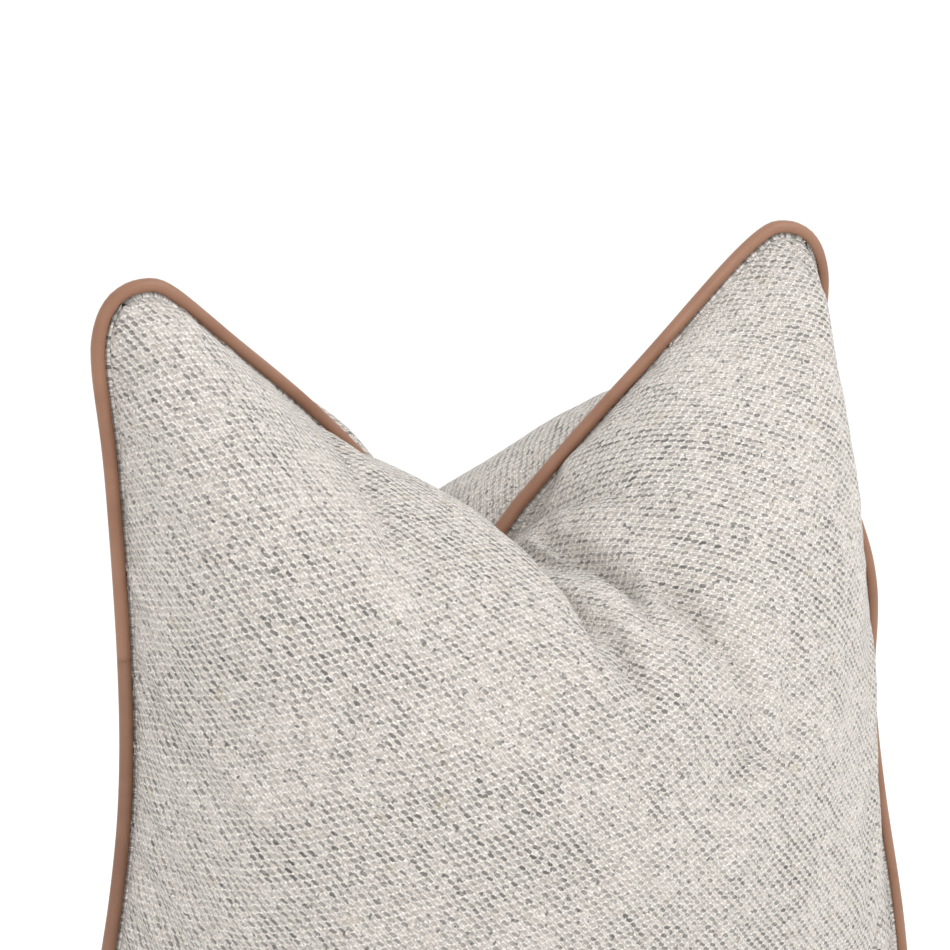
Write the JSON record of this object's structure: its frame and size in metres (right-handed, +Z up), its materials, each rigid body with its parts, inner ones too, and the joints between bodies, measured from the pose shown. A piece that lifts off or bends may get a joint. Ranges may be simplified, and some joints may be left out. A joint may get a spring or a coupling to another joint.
{
  "type": "throw pillow",
  "caption": "Square throw pillow with piped edge, zipped cover and separate insert, standing upright with a chopped top.",
  "frame": {"origin": "middle of the flat that the pillow stands on, at the height of the floor", "axes": "+X to the pillow's right as seen from the front, -Y out of the front panel, +Z up to the ears"},
  "size_m": [0.5228, 0.28, 0.5685],
  "materials": {
    "cover_fabric": "coarse broken twill",
    "piping_leather": "satin",
    "cotton_cord": "twisted cotton",
    "zip_tape": "woven tape",
    "zip_teeth": "satin",
    "zip_metal": "satin",
    "casing_cotton": "plain weave",
    "filling": "loose feather and fibre",
    "label_satin": "satin ribbon"
  },
  "bodies": {
    "pillow": {"front_panel": "cover_fabric", "back_panel": "cover_fabric", "piping_strip_upper": "piping_leather", "piping_strip_lower": "piping_leather", "piping_cord": "cotton_cord", "zip_tape_front": "zip_tape", "zip_tape_back": "zip_tape", "zip_teeth_front": "zip_teeth", "zip_teeth_back": "zip_teeth", "zip_top_stop": "zip_teeth", "zip_bottom_stop": "zip_teeth", "insert_front": "casing_cotton", "insert_back": "casing_cotton", "insert_filling": "filling", "care_label": "label_satin"},
    "slider": {"zip_slider": "zip_metal"},
    "pull": {"zip_pull": "zip_metal"}
  },
  "joints": [
    {"name": "zip_slide", "type": "slide", "parent": "pillow", "child": "slider", "axis": [-1, 0, 0], "range_m": [0, 0.383]},
    {"name": "pull_hinge", "type": "hinge", "parent": "slider", "child": "pull", "pos_m": [0.1915, 0.0081, 0.00502], "axis": [0, -1, 0], "range_deg": [0, 175]}
  ]
}
